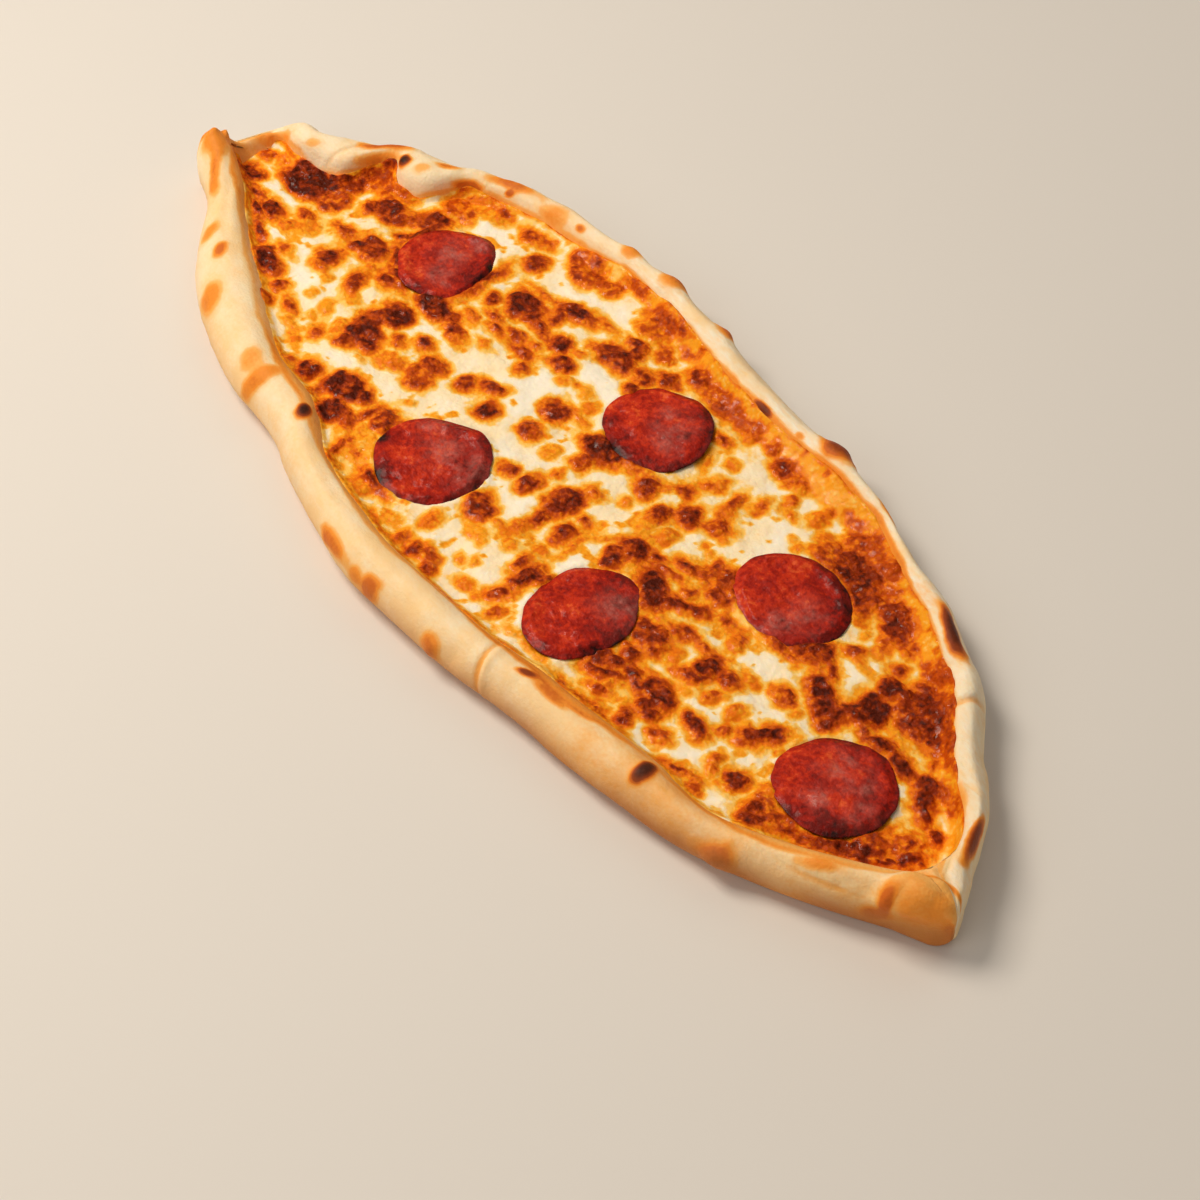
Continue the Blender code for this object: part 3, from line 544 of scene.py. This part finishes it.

# Browned blisters, each a lump with an orange edge, and a few dark lumps beside slices 1 and 5 that are
# painted shadow, wholly or in part: (x, y, half length, half width, turn, browning).
BLISTERS_AND_SHADOWS = (
    (-160, 7, 10, 7, 0, 1), (-154, 12, 5, 4, 0, .95), (-150, 17, 5, 5, 0, .85), (-147, 8, 6, 5, 0, .7),
    (-162, 2, 8, 3, 0, .9), (-148, 24, 6, 5, 0, .65), (-141, 28, 10, 4, 0, .6), (-138, 23, 5, 3, 0, .55),
    (-150, 33, 3, 5, 30, .75), (-132, 21, 6, 4, 25, .9), (-136, 16, 3, 3, 0, .85), (-128, 18, 3, 2, 0, .8),
    (-132, 2, 4.5, 2.5, 0, .8), (-181, 2, 3, 3, 0, .6), (-176, 4, 4, 2, 0, .5), (-176, -7, 6, 3.5, 0, .9),
    (-165, -11.5, 6, 1.5, 0, .8), (-155, -12, 5, 3, 0, .95), (-158, -15.5, 6, 1.8, -20, .9),
    (-149, -19.8, 6, 1.8, -22, .85), (-147, -4, 3, 2.5, 0, .75), (-145, -11, 3, 2, 0, .55),
    (-141, -7, 5, 4, 0, .35), (-135, -18, 4, 2, 0, .5), (-134, -25.5, 7, 4, -20, .95),
    (-112, 48, 8, 5, 0, .42), (-108, 50, 4, 2, 0, .6), (-120, 46, 1.5, 2, 0, .6), (-125, 46, 1.5, 3, 0, .7),
    (-118, 40, 8, 5, 0, .55), (-118, 30, 6, 4, 30, .85), (-122, 25, 4, 3, 0, .65), (-126, 21, 3, 3, 0, .75),
    (-118, 18, 2.5, 2, 0, .9), (-119, 5.5, 6, 6, 0, .8), (-122, 3, 3, 3, 0, .9), (-103, 1, 4.5, 2, 0, .9),
    # (-83, 22) is partly browning, partly painted shadow along slice 1's right edge; (-84, 7) is painted shadow at its
    # lower right.
    (-112, 0, 2, 1.5, 0, .5), (-83, 22, 2, 11, 0, .6), (-84, 7, 8, 4, 0, .95), (-75, 8, 4, 3, 0, .7),
    (-70, 5, 5, 2.5, 0, .75), (-72, 14, 3, 1.5, -30, .65), (-76, 25, 2.5, 2.5, 0, .8),
    # These two are a dark ring at slice 1's left and right edges: partly browning, partly painted shadow.
    (-116.5, 24, 2.2, 8, 0, .9), (-84, 26, 2, 9, 8, .9),
    (-111, 10, 6, 2, -42, .85), (-103, 4.5, 6, 2, -15, .9), (-68, 31, 6.5, 5.5, -20, .95), (-68, 21, 4, 2, 0, .7), (-68, 39, 5.5, 1.2, 0, .6), (-70, 58, 9, 6, -30, .7),
    (-72, 59, 3, 3, 0, .8), (-94, 52, 4, 3, 0, .65), (-88, 54, 3, 2, 0, .5), (-92, 53, 8, 3, 0, .45),
    (-81, 46, 4.5, 3.5, 60, .75), (-123, -8, 5, 4.5, 0, .85), (-122, -13, 4, 3, 0, .55),
    (-108, -8, 6, 3.2, -50, .8), (-122, -29, 3, 2.5, 20, .8), (-112, -30, 4, 2, -10, .65),
    (-120, -36, 3.5, 2.5, 15, .75), (-97, -30, 3.5, 2.5, -40, .65), (-94, -22.5, 2.5, 3, 0, .35),
    (-92, -27, 1.5, 1.5, 0, .3), (-104, -21, 3, 2, -50, .3), (-104, -26, 1.5, 1.5, 0, .28),
    (-113, -21, 2, 2, 0, .28), (-102, -12, 3, 3, 0, .25), (-116, -14, 1.5, 1.5, 0, .35),
    (-104, -35, 8, 1.5, -25, .35), (-98, -38, 2, 1.5, 0, .45), (-87, -5, 6, 6, 0, .95), (-90, -13, 4, 6, 0, .95),
    (-85, -19, 6, 5, 0, .95), (-87, -25, 3, 2.5, 0, .85), (-80, -19, 4, 2, 0, .8), (-77, -11, 3, 2, 0, .75),
    (-71, -5, 3.5, 2.5, 0, .8), (-70, -17, 4, 2, 0, .5), (-73, -20, 2, 1.5, 0, .5), (-77, -26, 2, 1.5, 0, .25),
    (-82, -41, 4.5, 3.5, -25, .95), (-89, -44, 2.5, 2.5, 0, .55), (-69, -36, 7, 6, 0, .95), (-73, -44, 2, 3, 0, .7),
    (-58, 57, 5, 3.5, 0, .65), (-63, 56, 4, 4, 0, .6), (-53, 65, 4, 2, 0, .6), (-35, 62, 5.5, 3, 0, .68),
    (-28, 65, 3, 2, 0, .7), (-33, 57, 6, 4, 0, .5), (-23, 54.5, 4, 3.5, 0, .65), (-18, 61, 3, 2, 0, .45),
    (-8, 56, 4, 3.5, 0, .8), (-13, 48, 3.5, 3, 0, .8), (-30, 49, 3.5, 2.5, 0, .8), (-28, 46, 3, 3, 0, .8),
    (-31, 40.5, 8, 4.5, 10, .88), (-19, 43, 4, 2.5, 0, .8), (-17.5, 37.5, 2.5, 2.5, 0, .85),
    (-54, 42, 7, 3, 15, .95), (-56.5, 36, 2.5, 4, 0, .8), (-43, 47, 5, 1.5, 0, .5), (-45, 31, 4, 3.5, 0, .95),
    (-38, 26, 4, 3.5, 0, .85), (-55, 29.5, 6, 1.3, -5, .9), (-64, 31, 4, 4, 0, .95), (-57.5, 22, 3, 1.8, 0, .8),
    (-50, 23.5, 2.3, 1.5, 20, .75), (-51, 18, 4.5, 2, 0, .95), (-44, 22, 3.5, .8, 40, .5),
    (-44, 15, 3, 2.5, 0, .65), (-63, 17, 3, 2, 0, .85), (-42, 2, 5, 2.8, 25, .8), (-22, 12.5, 4.5, 4, 20, .85),
    (-16, 17, 4.5, .9, -10, .5), (-20, 1, 3.5, 3.7, 0, .85), (-9, 1, 3, 3, 0, .35), (-27.5, 23.5, 1.5, 1.5, 0, .5),
    (-23, 25, 3, 2, 0, .35), (-17, 22.5, 2, 3, 0, .45), (-38, 33, 2, 1.5, 0, .6), (-31, 22, 3, 3, 0, .35),
    (-60, 10, 1.5, .8, 0, .5), (-61, -8, 4.5, 4, 0, .78), (-59.5, -14.5, 5.5, 5, 0, .68),
    (-49, -3.5, 3, 3.2, 0, .7), (-34.5, -4.5, 4.5, 3.7, 0, .9), (-52, -23, 1.5, 1.5, 0, .3),
    (-50, -32, 5, 1.8, 0, .85), (-54.5, -36, 2, 4.5, 0, .85), (-48, -35, 3.5, 4, 0, .8), (-63, -34, 4, 3, 0, .9),
    (-63, -45, 5, 4, 0, .95), (-58, -43, 6, 2.3, -20, .85), (-48, -48, 2, 1.5, 0, .7), (-43, -48, 2, 1.5, 0, .6),
    (-48.5, -51.5, 3, 1.8, -50, .68), (-45, -55, 4, 1.8, 0, .5), (-47, -46, 9, 6, 0, .33),
    (-31, -54, 4.5, 3, 0, .42), (-31, -50, 5, 1.5, 0, .98), (-13, -53, 2, 1.5, 0, .35),
    (-13, -58.3, 3.5, .8, 0, .7), (-6, -55, 2, 2.7, 0, .75), (-6.5, -44.5, 2.3, 3.7, 0, .5),
    (-4, -29, 3, 4.5, 0, .8), (-10, -14.5, 2.8, 3.2, 0, .7), (-3, -12, 2.5, 3.5, 0, .75),
    (6, 56.5, 10, 3, 0, .62), (5, 54, 6, 2, 0, .75), (18, 56, 6, 3, 0, .5), (22, 55.5, 2.5, 3, 0, .5),
    (30, 57, 2, 2.5, 0, .5), (38.5, 55, 4, 3.3, 0, .75), (44, 52, 1.8, 1.3, 0, .6), (45, 54, 6, 4, 0, .42),
    (17.5, 47, 3, 2, 0, .75), (50.5, 47.5, 2, 2.2, 0, .6), (54, 44.5, 2.5, 1.3, 0, .5), (47, 39.5, 2, 3.5, 0, .5),
    (42, 32, 5.5, 2.5, 105, .62), (27, 43, 2.2, 1.5, 0, .4), (22, 37, 2.5, .8, -50, .5),
    (30.5, 31.3, 2.5, 1.5, 30, .7), (32, 35, 1.3, 2.3, 0, .5), (28, 24.5, 3, 2.2, 0, .7),
    (21, 16, 4.5, 3, -50, .75), (24, 20, 1.3, 2, 0, .5), (46, 24, 3.7, 2.4, 35, .75), (51, 22.5, 2, 1.5, 0, .4),
    (37.5, 19, 4.3, 4, 0, .87), (32, 12.5, 2.7, 3.7, 0, .77), (33, 6, 2.5, 3, 0, .33), (40, 9, 2.7, 3.5, 0, .45),
    (21, 7, 2, 1.5, 0, .4), (12.5, 2.5, 3, 1.6, 0, .6), (1, 14, 8, 5, 10, .98), (10, 18, 4, 2, 0, .95),
    (0, 6, 3.3, 3.7, 0, .75), (53, 15, 1.5, 1.3, 0, .35), (49, 16, 1, 1, 0, .45), (52.5, 6.5, 3.3, 1.8, 0, .85),
    (57.5, 8, 3, 2, 0, .65), (57, 10.5, 2, .7, 0, .6), (45.5, 2, 2.5, 1.4, 10, .85), (51, 0, 5, 1.2, 15, .82),
    (59, 12, 2, 3, 0, .8), (0, -4, 1.8, 2.5, 0, .5), (-1, -12.5, 3.5, 3.7, 0, .75), (11, -7.5, 5.5, 7, 0, .9),
    (11.5, -17, 2.3, 4.5, 0, .85), (11, -25, 2.5, 5, 0, .5), (21.5, -7, 2, 1.7, 0, .65),
    (22, -15, 3.2, 3.4, 0, .85), (27.3, -16, 1, 4.5, 0, .5), (22.5, -24, 2.5, 2.4, 0, .5),
    (31, -6.5, 4.5, 1, 50, .45), (39, -2.5, 5.5, 4, 0, .85), (38, -9, 3.5, 3.5, 0, .85), (54, -7.5, 8, 4, -28, 1),
    (-1, -30, 3.5, 4.5, 0, .85), (7, -30, 5, .9, 0, .5), (5, -37, 4, 2, 0, .33), (14, -42, 1.5, 1.3, 0, .35),
    (10, -45.5, 1.8, 1.2, 0, .3), (15, -31, 2, 1.5, 0, .4), (-1, -56, 3, 3, 0, .85), (4, -53, 4, 2.7, 0, .6),
    (8, -55.5, 3.3, 2.4, 0, .75), (20.5, -49.5, 3, 1.7, 0, .5), (27, -49.5, 2, 1.2, 0, .45),
    (35, -49, 2.3, 3.5, 0, .55), (23, -32, 2.3, 3.4, 0, .7), (28.5, -34, 3, 6, 0, .9), (29, -43.5, 2.6, 4.3, 0, .75),
    (32, -41, 1.8, 4, 0, .5), (32, -31, 2.2, 2.8, 0, .8), (50, -48.8, 8, 1.2, 0, .35),
    (61, 51, 2.5, 3.5, 0, .5), (67, 47, 2.5, 3, 0, .5), (62, 39.5, 1.5, 1.5, 0, .35), (67.5, 37.5, 2.5, 2, 0, .4),
    (73, 46, 5, 4, 0, .6), (74, 42, 5, 3, 0, .6), (76, 54, 4, 6, -60, .65), (77, 57, 3, 2.5, 0, .65),
    (68, 58, 3, 2, 0, .45), (82, 53, 6, 4, 0, .5), (84, 46, 8, 6.5, 0, .92), (77, 41.5, 5, 2.5, 20, .75), (90, 41, 6, 3, -25, .88), (79, 48, 4, 4, 0, .8),
    (89, 54, 3, 2.5, -50, .7), (92, 43, 4, 4, 0, .72), (96, 43, 3.5, 3.5, 0, .75), (95, 39, 4, 3, 0, .65),
    (98, 36, 3, 2, 0, .45), (95, 48, 3, 3, 0, .35), (103, 45, 4.5, 4.5, 0, .9), (107, 42, 5, 5, -45, .78),
    (112, 40, 4, 3, -20, .72), (109, 37, 3, 3, 0, .65), (111, 33.5, 2, 3, 0, .55), (116, 38, 2, 2, 0, .5),
    (119, 32, 2.5, 2, 20, .75), (103, 33, 1.5, 1.5, 0, .3), (107, 26, 3, 2.5, 20, .68), (105, 25, 2, 1.5, 0, .5),
    (109, 25, 3, 1.5, 0, .5), (112, 24, 4, 1, 0, .35), (103, 18.5, 4.5, 3.5, -10, .88), (108, 17, 4, 2, -40, .75),
    (103, 14, 4, 2, 0, .65), (97, 16, 3.5, 4, 0, .8), (92, 10, 5, 2, 15, .75), (112, 13.5, 4, 1, 0, .5), (113, 10, 6, 3.5, -5, .95), (120, 8, 5, 4, -10, .95),
    (117, 5, 6, 2.5, -20, .85), (107, -.5, 4, 3.2, 0, .72), (104, -1, 3, 2.5, 0, .5), (114, -1.5, 1, 1.5, 0, .4),
    (64, 13, 5, 3, -20, .92), (67, 10, 5, 3, 0, .8), (68, 7, 5, 3, 0, .8), (60, 7, 1.5, 1.5, 0, .6),
    (77, 3.5, 3, 1.5, 0, .65), (84, 2, 4, 3, -50, .5), (68, -1, 4, 2.5, 35, .92), (62, -5, 8, 2.5, 35, .9),
    # (90, 10) and (97, 11) are painted shadow below slice 5.
    (61, 1, 2, 1.5, 30, .75), (97, -4, 3, 2.5, 0, .5), (90, 10, 7, 1.5, 0, .8), (97, 11, 3, 1.5, 0, .7),
    (66, -4, 3, 3, 0, .55), (64, -11, 3, .8, -20, .4), (73, -9, 3, 2, 20, .78), (71, -11.5, 2.5, 1.5, 0, .78),
    (76, -8.5, 3, 1.5, 0, .5), (80, -8.5, 4, 1.5, 0, .6), (65, -16, 4, 2.5, 10, .82), (70, -17.5, 4.5, 4, 0, .78),
    (67, -20, 5, 2, -35, .72), (78, -16, 3, 2.5, 0, .4), (87, -11.5, 3.5, 4, 0, .92), (85, -8, 3, 1.5, 0, .7),
    (93, -9.5, 4, 3, -10, .88), (87, -16, 4, 3.5, 0, .75), (84, -18, 3, 2, 0, .6), (96, -16.5, 2.2, 2.3, -20, .65),
    (98, -14.5, 1.5, 1.5, 0, .4), (91, -21, 1.5, 1, 0, .35), (104.5, -14.5, 2.3, 3, 0, .62),
    (106.5, -20.5, 2.2, 2.7, -20, .65), (110, -16, 2, 2, 0, .4), (115.5, -13, 6.5, 2.8, 55, .88),
    (113, -16.5, 3.5, 2.5, 0, .8), (79, -25, 3, 1.2, 0, .5), (69.5, -26, 3, 3, 0, .88), (66.5, -25, 2.5, 2, 0, .7),
    (72, -28, 3, 1.5, -25, .7), (87, -28, 6, 4, -5, .95), (89, -33, 4, 3.5, 0, .85), (84, -30, 4, 2, 0, .9),
    (87, -24.5, 3, 1.5, 0, .7), (77, -30, 4, 2.2, -15, .92), (70, -31, 4.5, 2.2, 25, .82), (65, -34, 4, 3.5, 0, .85),
    (81, -31.5, 4, 1.5, 0, .9), (73, -35, 4.5, 2, 25, .88), (69, -37.5, 5, 2, 20, .8), (62, -36, 4, 4, 0, .9),
    (76, -37, 3.5, 1.5, 40, .6), (101, -26, 5, 2.8, -5, .82), (104, -27, 2.5, 2, 0, .7),
    (97.5, -36.5, 3.5, 3, 10, .7), (114, -29.5, 2, 2.5, 0, .6), (116.5, -32, 2.5, 2, -40, .5),
    (87.5, -41, 2.2, 3.3, 0, .9), (89, -43.5, 1.5, 1, 0, .6), (91.5, -44, 1.5, 1, 0, .5), (75, -41, 4, 2, 15, .6),
    (80, -44.5, 2.5, 1.5, 0, .5), (83, -38, 3, 1, 50, .4), (111, -40, 5, 1.3, 25, .85), (118, -39, 2.5, 2.3, 0, .72),
    (68, -48, 2.5, .8, 0, .8), (75, -47, 3, .8, 0, .8), (80, -45.5, 1.5, 1, 0, .8), (84, -46.7, 2, .5, 0, .7),
    (123.5, -28, 4, 3.5, -10, .85), (124, -32, 3, 2, 0, .5), (131, -24, 3, 2, 0, .5), (132, -27, 2, 3, 0, .5),
    (135, -33, 5, 4, 20, .82), (139, -33, 4, 2, 30, .7), (137, -28.5, 5, 3, 0, .65), (146, -28, 7, 1, 35, .8),
    (146, -25, 6, 2, 0, .45), (155, -21, 4, 2.5, 20, .8), (153, -23, 3, 2, 0, .75), (160, -16, 3.5, 3.5, 20, .92),
    (163, -18, 3, 2, 0, .8), (160, -20, 3, 2, 0, .8), (168, -12, 3, 1.5, 35, .9), (170, -10, 2.5, 2, 0, .92),
    (167, -14.5, 4, 1.5, 40, .88), (166, -5, 1.5, 3, 0, .75), (165, -8, 2.5, 2, 0, .7), (168, -2, 1.5, 3, 0, .6),
    (173.5, -6.5, 1.5, 2, 0, .7), (126, 40.5, 4, 2.8, 10, .7), (130, 42, 2, 2, 0, .35), (129, 34, 4, 2.5, 0, .75),
    (135, 34, 4, 3.5, 0, .85), (128, 28, 3, 3, 0, .75), (123, 26, 4, 4, 0, .95), (126, 18, 6, 5, 0, .95),
    (124, 13, 5, 3.5, 0, .9), (133, 30, 5, 5, 0, .82), (138, 27, 6, 6, 0, .85), (144, 25, 5, 5, -40, .82),
    (140, 21, 7, 2.5, 0, .75), (131, 25, 3, 3, 0, .75), (139, 17, 6, 3, 0, .3), (137, 11, 7, 2.2, 5, .9),
    (146, 10.8, 5, 2.8, 0, .9), (130, 10.5, 3, 2, 0, .7), (122, 5, 3, 4, 0, .8), (151, 17.5, 3, 1, -55, .75),
    (155, 12, 4, 3.5, 0, .85), (159, 8, 5, 3, -30, .88), (162, 5, 4, 2, -30, .85), (168, 3.5, 3, 2.5, -30, .85),
    (158, 13, 3, 2.5, -50, .7), (172, -2, 1.5, 3, 0, .5), (151, 24, 5, 1.5, -20, .5), (163, 15, 3, 3, 0, .4),
    (140, -28, 9, 4, 15, .6), (150, -26.5, 7, 2.5, 32, .72), (157, -20, 7, 3.5, 42, .75), (161, -13, 5, 4.5, 55, .68),
    (164.5, -5, 2.5, 7, -20, .55), (170, -7, 2.5, 5, -30, .8), (158.5, -11, 1.6, 7, -12, .6),
)

cheese_x = -3 + 182 * np.linspace(-1, 1, CHEESE_STATIONS)
station = np.interp(cheese_x, dough_x, np.arange(STATIONS))
share = (station % 1)[:, None, None]
near_lip, far_lip = sum(spans[:LIP_POINT]), sum(spans[:-LIP_POINT])
below = baked[station.astype(int)] * (1 - share) + baked[station.astype(int) + 1] * share
below = below[:, near_lip:far_lip + 1]
below[..., 1] = np.maximum.accumulate(below[..., 1], 1)
climb_x, climb, slope_width = np.array(FAR_CLIMB).T
climb = np.interp(cheese_x, climb_x, climb)[:, None]
slope_width = np.interp(cheese_x, climb_x, slope_width)[:, None]
near_edge = below[:, near_wall - near_lip, None, 1] - 1.2
near_slope = 4
far_foot, far_top = below[:, far_wall - near_lip, None, 1], below[:, -1, None, 1]
far_edge = far_foot + climb * (far_top - far_foot)
t = np.linspace(0, 1, CHEESE_ACROSS)
y = near_edge + (far_edge - near_edge) * t
x = np.broadcast_to(cheese_x[:, None], y.shape)
dough_z = np.maximum.reduce([
    [np.interp(row + shift, line[:, 1], line[:, 2]) for row, line in zip(y, below)] for shift in (-0.2, 0, 0.2)
])
from_near, from_far = y - near_edge, far_edge - y
flat = np.stack([x, y, 0 * x], -1)

rise = (dough_z[:, -1:] - CHEESE_LEVEL) * np.clip(1 - from_far / slope_width, 0, 1) ** 1.8
wx = x - 0.68 * rise + 1.3 * lumps(flat, 7, 30) + 0.8 * lumps(flat, 2.6, 31) + 0.22 * lumps(flat, 1.3, 45)
wy = y + 0.49 * rise + 1.3 * lumps(flat, 7, 32) + 0.8 * lumps(flat, 2.6, 33) + 0.22 * lumps(flat, 1.3, 46)
core = np.zeros_like(x)
swell = np.zeros_like(x)
halo = np.zeros_like(x)
fat = 1.05 + 0.35 * lumps(flat, 3, 52) + 0.12 * lumps(flat, 1.5, 53)
for bx, by, half_length, half_width, turn, browning in BLISTERS_AND_SHADOWS:
    outside = oval(wx - bx, wy - by, half_length, half_width, turn) * min(half_length, half_width)
    core = np.maximum(core, browning * ease((0.5 - outside) / 1.7))
    swell = np.maximum(swell, (0.3 + 0.7 * browning) * ease((0.6 - outside) / 2.0))
    spread = np.clip(1 - outside / ((1.4 + 2 * browning) * fat), 0, 1)
    halo = np.maximum(halo, (0.16 + 0.28 * browning) * spread**1.35 + 0.08 * browning * np.exp(-np.maximum(outside, 0) / 4))
core *= 1 - 0.22 * ease(1.6 * lumps(flat, 1.7, 47) + 0.1) - 0.16 * ease(1.5 * lumps(flat, 4.5, 48))
small = lumps(flat, 3.6, 34) + 0.5 * lumps(flat, 1.8, 35) + 0.5 * lumps(flat, 14, 36)
specks = 0.27 * ease((small - 0.42) / 0.5)
gold = 0.04 + 0.07 * lumps(flat, 16, 37) + 0.03 * lumps(flat, 5, 38)
fringe = from_far + 0.8 * lumps(flat, 9, 49)
core *= 1 - 0.55 * ease((7 - fringe) / 4) * ease((x + 20) / 20)
gold = np.maximum(gold, 0.27 * ease((slope_width + 1 - fringe) / 4) * ease((x + 80) / 30))
lip_line = 0.44 * np.exp(-(((fringe - 0.8) / 1.4) ** 2)) * (0.85 + 0.3 * lumps(flat, 6, 50))
# Warmer along the near wall: partly a browned fringe, partly painted shade in the rim's shadow.
near_line = (0.3 + 0.2 * lumps(flat, 7, 54)) * np.exp(-(((from_near - 1.2) / 1.8) ** 2))
heat = np.maximum.reduce([core, gold + halo * (1 - gold), gold + specks * (1 - gold), lip_line, near_line])

z = CHEESE_LEVEL + 0.3 + 0.8 * lumps(flat, 17, 39) + 0.5 * lumps(flat, 6, 40) + 0.14 * lumps(flat, 2, 41)
z += 0.35 * lumps(flat * (0.5, 1.1, 1), 5, 51)
z += swell * (1.0 + 0.5 * lumps(flat, 2.4, 42) + 0.3 * lumps(flat, 1.3, 43))
z += (dough_z[:, :1] - CHEESE_LEVEL) * np.clip(1 - from_near / near_slope, 0, 1) ** 1.8
z += rise
from_edge = np.minimum(from_near, from_far)
film = dough_z - 0.2 + 0.6 * ease(from_edge / 3)
on_rim = (from_far < slope_width) | (from_near < near_slope)
z = np.where(on_rim, np.maximum(z, film), z) - 1.6 * np.exp(-from_edge / 0.4) - 2 * np.exp(-(x - x.min()) / 0.8)
for number, (centre_x, centre_y) in enumerate(slice_centres, 1):
    dx, dy = x - centre_x, y - centre_y
    share = np.hypot(dx, dy) / slice_reach(number, np.arctan2(dy, dx) % math.tau)
    z += 0.5 * np.exp(-(((share - 1.02) / 0.06) ** 2))
    z += (CHEESE_LEVEL - 1.2 - z) * ease((0.95 - share) / 0.08)
top = np.stack([x, y, z], -1)
under_columns = np.r_[2:32:5, 32:CHEESE_ACROSS - 32:16, CHEESE_ACROSS - 32:CHEESE_ACROSS - 1:4]
under = top[:, under_columns].copy()
under[..., 2] = np.minimum(dough_z[:, under_columns] + 0.1, under[..., 2] - 0.5)
rings = np.concatenate([top, under[:, ::-1]], 1)
heat = np.concatenate([heat, np.full(under.shape[:2], 0.2)], 1)
cheese = closed_mesh("melted_cheese", rings, browning=heat)

melted, tree, surface, place = new_material("melted_cheese")
browning = add(tree, "ShaderNodeAttribute", {}, attribute_name="browning").outputs["Fac"]
rough = calc(tree, "ADD", grain(tree, place, 3, 2, 0.3), grain(tree, place, 1.1, 2, 0.18))
mottled = calc(tree, "ADD", browning, calc(tree, "MULTIPLY", rough, calc(tree, "ADD", browning, 0.03)))
wobbly = add(tree, "ShaderNodeVectorMath", {0: place, 1: add(
    tree, "ShaderNodeCombineXYZ", {"X": grain(tree, place, 2, 1, 0.8 * mm), "Y": grain(tree, place, 2.5, 1, 0.8 * mm)},
).outputs[0]}, operation="ADD").outputs[0]
bubbles = add(tree, "ShaderNodeTexVoronoi", {"Vector": wobbly, "Scale": 1 / (1.7 * mm), "Smoothness": 0.6},
              feature="SMOOTH_F1").outputs["Distance"]
domes = calc(tree, "SUBTRACT", 0.45, bubbles)
# Painted highlight on the tops of the blisters' bubbles and painted shade between them.
mottled = calc(tree, "SUBTRACT", mottled, calc(tree, "MULTIPLY", domes, calc(tree, "MULTIPLY", browning, 0.45)))
colour = ramp(tree, mottled, (
    (0.02, (255, 241, 216)), (0.10, (255, 231, 188)), (0.19, (255, 200, 96)), (0.30, (250, 160, 28)),
    (0.42, (236, 120, 14)), (0.56, (194, 76, 8)), (0.76, (140, 44, 6)), (1.0, (84, 24, 6)),
))
tree.links.new(colour, surface.inputs["Base Color"])
fizz = calc(tree, "ADD", grain(tree, place, 1.0, 2, 0.5), grain(tree, place, 2.6, 2, 0.8))
fizz = calc(tree, "ADD", fizz, calc(tree, "MULTIPLY", domes, 1.6))
fizz = calc(tree, "MULTIPLY", fizz, calc(tree, "ADD", browning, 0.2))
bump = add(tree, "ShaderNodeBump", {"Height": fizz, "Strength": 0.8, "Distance": 0.6 * mm})
tree.links.new(bump.outputs["Normal"], surface.inputs["Normal"])
surface.inputs["Roughness"].default_value = 0.4
surface.inputs["Specular IOR Level"].default_value = 0.06
oil = calc(tree, "MAXIMUM", grain(tree, place, 2.2, 2, 0.8), 0.03)
tree.links.new(oil, surface.inputs["Coat Weight"])
surface.inputs["Coat Roughness"].default_value = 0.07
surface.inputs["Subsurface Weight"].default_value = 0.15
surface.inputs["Subsurface Radius"].default_value = (1.0, 0.5, 0.2)
surface.inputs["Subsurface Scale"].default_value = 2.0 * mm
cheese.data.materials.append(melted)
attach(cheese, "root")
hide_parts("cheese")

# ---------------------------------------------------------------------------------------------------------
# The stage: a plain pale floor, a large warm lamp high on the left behind the food, and a fill light.

AIM = Vector((49.4, -22.3, 12)) * mm
AZIMUTH, ELEVATION, DISTANCE = math.radians(54.4), math.radians(50), 715.4 * mm


def look_from(azimuth, elevation, distance):
    """A place that far from the aim: azimuth turns from -Y towards +X, elevation rises from the floor."""
    level = distance * math.cos(elevation)
    return AIM + Vector((level * math.sin(azimuth), -level * math.cos(azimuth), distance * math.sin(elevation)))


def add_lamp(name, azimuth, elevation, distance, size, power, colour):
    """A square soft lamp that faces the aim."""
    data = bpy.data.lights.new(name, "AREA")
    data.size, data.energy, data.color = size, power, colour
    lamp = bpy.data.objects.new(name, data)
    lamp.location = look_from(math.radians(azimuth), math.radians(elevation), distance)
    lamp.rotation_euler = (AIM - lamp.location).to_track_quat("-Z", "Y").to_euler()
    bpy.context.scene.collection.objects.link(lamp)


mesh = bpy.data.meshes.new("floor")
reach = 3.0
mesh.from_pydata([(-reach, -reach, 0), (reach, -reach, 0), (reach, reach, 0), (-reach, reach, 0)], [], [(0, 1, 2, 3)])
floor = bpy.data.objects.new("floor", mesh)
bpy.context.scene.collection.objects.link(floor)
paint, tree, surface, place = new_material("pale_floor")
surface.inputs["Base Color"].default_value = shade(226, 220, 212)
surface.inputs["Roughness"].default_value = 0.7
mesh.materials.append(paint)

add_lamp("key", 295, 55, 1.2, 0.5, 10.5, (1.0, 0.91, 0.79))
add_lamp("back", 200, 45, 1.6, 0.8, 1.3, (1.0, 0.95, 0.92))
add_lamp("fill", 8, 38, 1.6, 1.0, 5.0, (1.0, 0.92, 0.82))

world = bpy.data.worlds.new("studio")
world.use_nodes = True
world.node_tree.nodes["Background"].inputs["Color"].default_value = (1.0, 0.94, 0.87, 1.0)
world.node_tree.nodes["Background"].inputs["Strength"].default_value = 0.25
bpy.context.scene.world = world
bpy.context.scene.view_settings.view_transform = "Standard"

lens = bpy.data.cameras.new("camera")
lens.lens, lens.sensor_width = 73.8, 36
camera = bpy.data.objects.new("camera", lens)
camera.location = look_from(AZIMUTH, ELEVATION, DISTANCE)
camera.rotation_euler = (AIM - camera.location).to_track_quat("-Z", "Y").to_euler()
bpy.context.scene.collection.objects.link(camera)
bpy.context.scene.camera = camera
